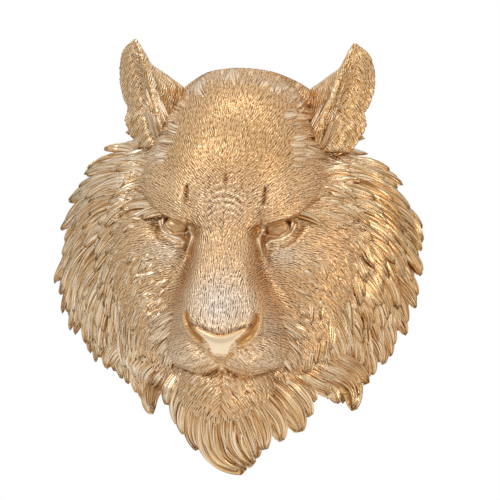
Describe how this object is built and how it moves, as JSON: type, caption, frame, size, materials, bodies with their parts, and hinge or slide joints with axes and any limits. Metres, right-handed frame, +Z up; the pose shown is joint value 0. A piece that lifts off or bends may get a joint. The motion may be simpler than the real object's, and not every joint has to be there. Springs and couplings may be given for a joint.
{
  "type": "tiger head wall sculpture",
  "caption": "Tiger head wall relief, fur carved in tiers of pointed locks, cast in one piece with a flat back that hangs on a screw.",
  "frame": {"origin": "middle of the flat back, on the wall plane, between the ears' roots and the chin", "axes": "+Z up the wall, +X to the right as the face is seen, -Y out of the wall, the way the face looks"},
  "size_m": [0.3507, 0.1908, 0.395],
  "materials": {
    "gold_lacquer": "metallic gold lacquer over cast resin, paler on the high points and orange brown in the hollows"
  },
  "bodies": {
    "root": {"tiger_head": "gold_lacquer"}
  },
  "joints": []
}
